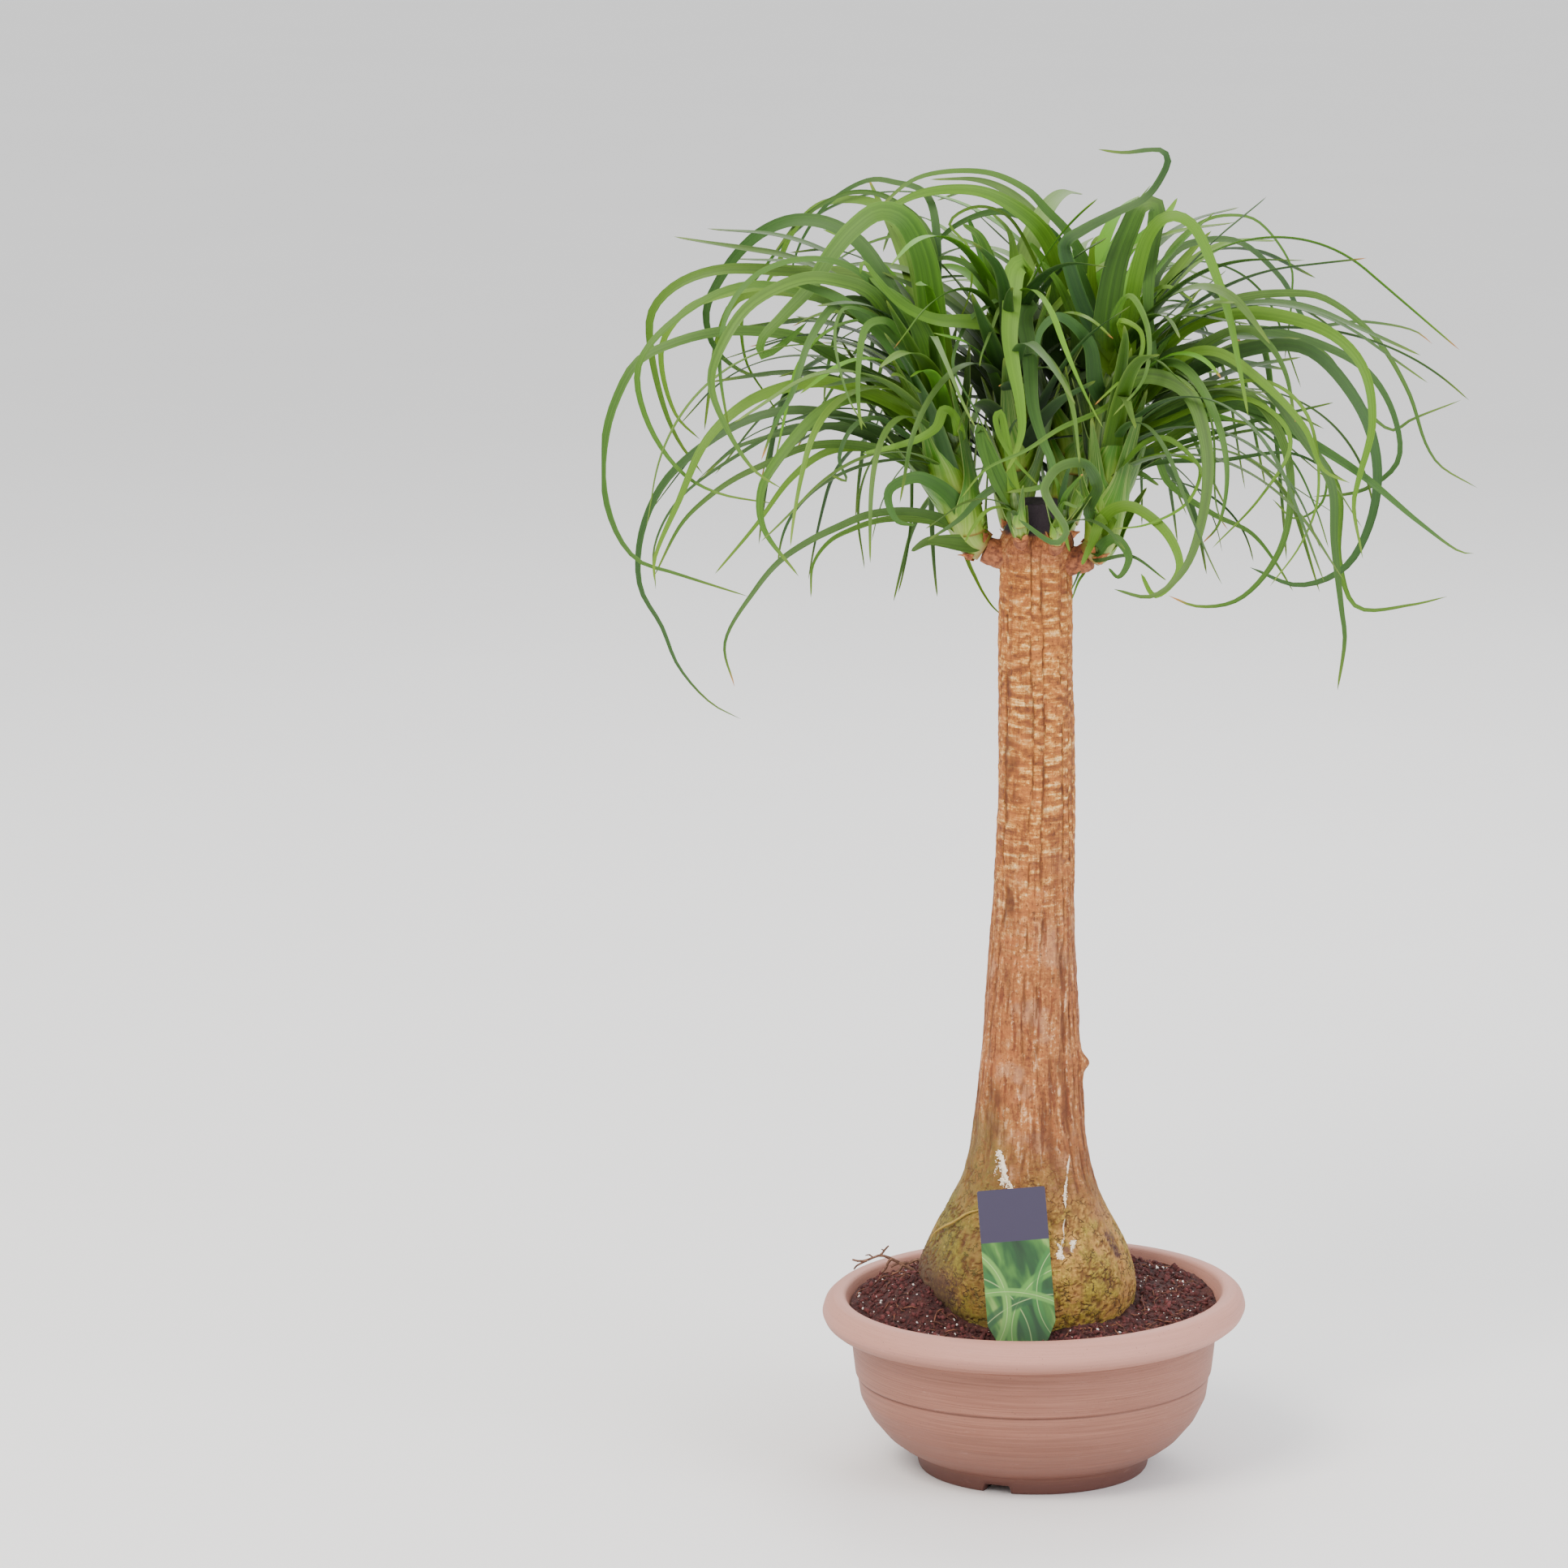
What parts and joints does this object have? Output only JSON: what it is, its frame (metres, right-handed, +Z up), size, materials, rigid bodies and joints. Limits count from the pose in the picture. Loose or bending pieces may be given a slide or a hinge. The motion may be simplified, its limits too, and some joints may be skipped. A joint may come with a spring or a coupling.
{
  "type": "potted ponytail palm",
  "caption": "Ponytail palm with a swollen woody trunk and fountains of long drooping strap leaves, in a round soil-filled bowl pot with a plain plant label.",
  "frame": {"origin": "centre of the pot's flat base, on the surface it stands on", "axes": "+Z up along the trunk; the label faces -Y, which is the front; +X to the right as seen from the front"},
  "size_m": [0.8118, 0.6419, 1.2611],
  "materials": {
    "pot": "matte",
    "soil": "matte",
    "bark": "matte",
    "label": "satin",
    "leaf": "satin"
  },
  "bodies": {
    "root": {"pot": "pot", "soil": "soil", "trunk": "bark", "label": "label", "shoot_left": "leaf", "shoot_right": "leaf", "shoot_centre": "leaf", "shoot_back": "leaf", "shoot_front_left": "leaf", "shoot_front_right": "leaf"}
  },
  "joints": []
}
